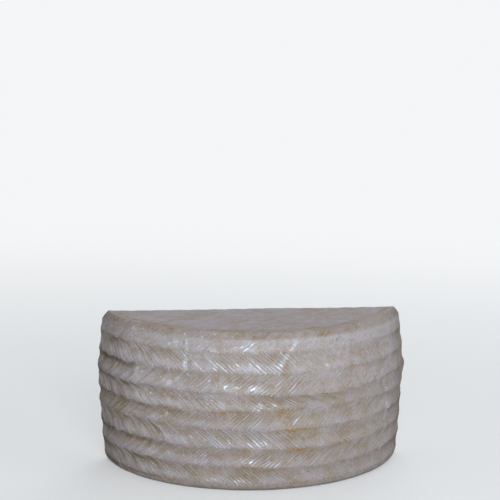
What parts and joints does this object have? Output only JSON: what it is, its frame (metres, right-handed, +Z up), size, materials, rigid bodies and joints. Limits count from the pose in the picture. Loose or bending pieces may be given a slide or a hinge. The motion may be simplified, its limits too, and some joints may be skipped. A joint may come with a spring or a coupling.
{
  "type": "manchego cheese half wheel",
  "caption": "Half wheel of firm aged sheep's milk cheese, with a plaited herringbone print round its rind and one flat cut face.",
  "frame": {"origin": "on the surface it stands on, under the middle of the piece's bounding box", "axes": "+Z up, the cut face looks along +Y, the rind bends round the -Y side, and the cut runs along X"},
  "size_m": [0.201, 0.0802, 0.099],
  "materials": {
    "rind": "satin waxy rind, ivory grey with ochre in the grooves; the cut face is pale ivory paste with a tan edge"
  },
  "bodies": {
    "root": {"half_wheel": "rind"}
  },
  "joints": []
}
